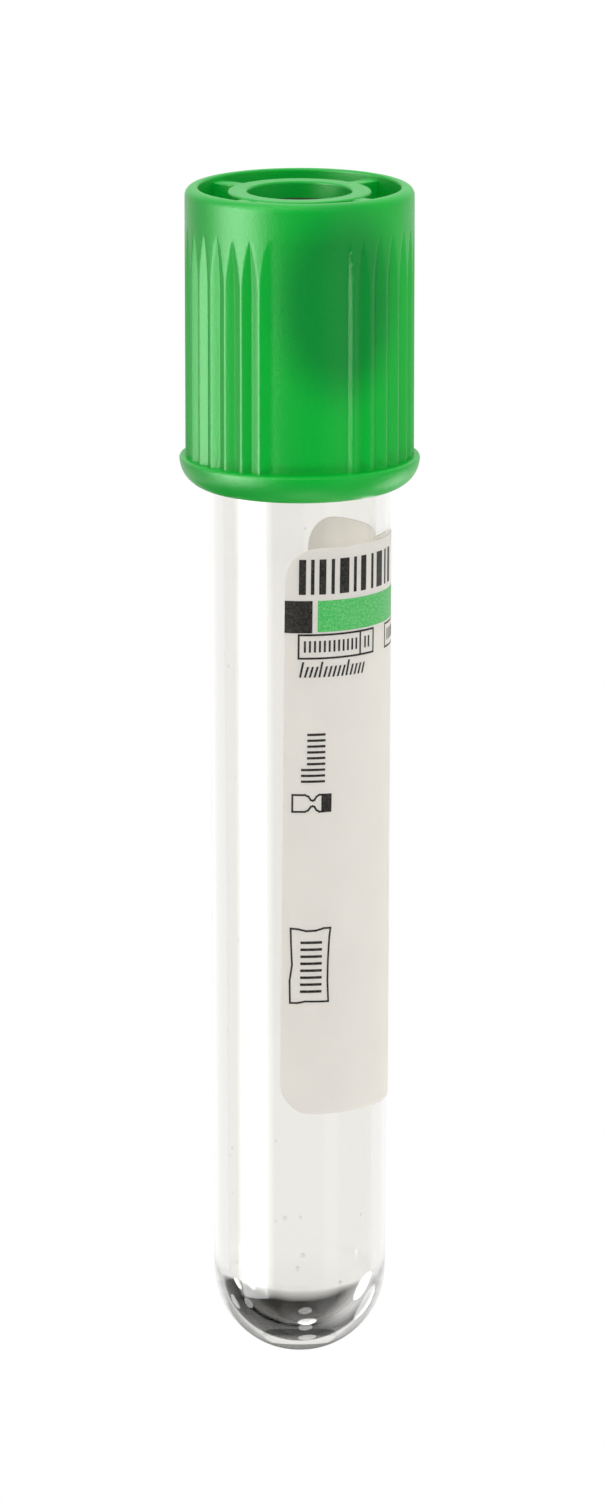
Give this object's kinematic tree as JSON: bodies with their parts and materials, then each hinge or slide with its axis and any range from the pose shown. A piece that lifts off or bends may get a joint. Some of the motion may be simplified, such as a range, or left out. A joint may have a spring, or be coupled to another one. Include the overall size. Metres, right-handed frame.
{
  "type": "blood collection tube",
  "caption": "Clear round-bottomed sample tube with a wrapped label, closed by a rubber stopper in a fluted pull-off cap with a flange.",
  "frame": {"origin": "centre of the cap's rim, on the surface that the closed tube stands on, cap down", "axes": "+Z along the tube's axis, from the cap up to the round tip; -Y is the front, where the label's edge and a smooth panel of the cap are"},
  "size_m": [0.0172, 0.0172, 0.0863],
  "materials": {
    "tube_wall": "clear moulded plastic, gloss",
    "label_film": "satin off-white film",
    "cap_shell": "fine satin texture, green",
    "stopper_rubber": "matte, near black"
  },
  "bodies": {
    "closure": {"cap": "cap_shell", "stopper": "stopper_rubber"},
    "tube_body": {"tube": "tube_wall", "label": "label_film"}
  },
  "joints": [
    {"name": "closure_pull", "type": "slide", "parent": "closure", "child": "tube_body", "axis": [0, 0, 1], "range_m": [0, 0.03]}
  ]
}
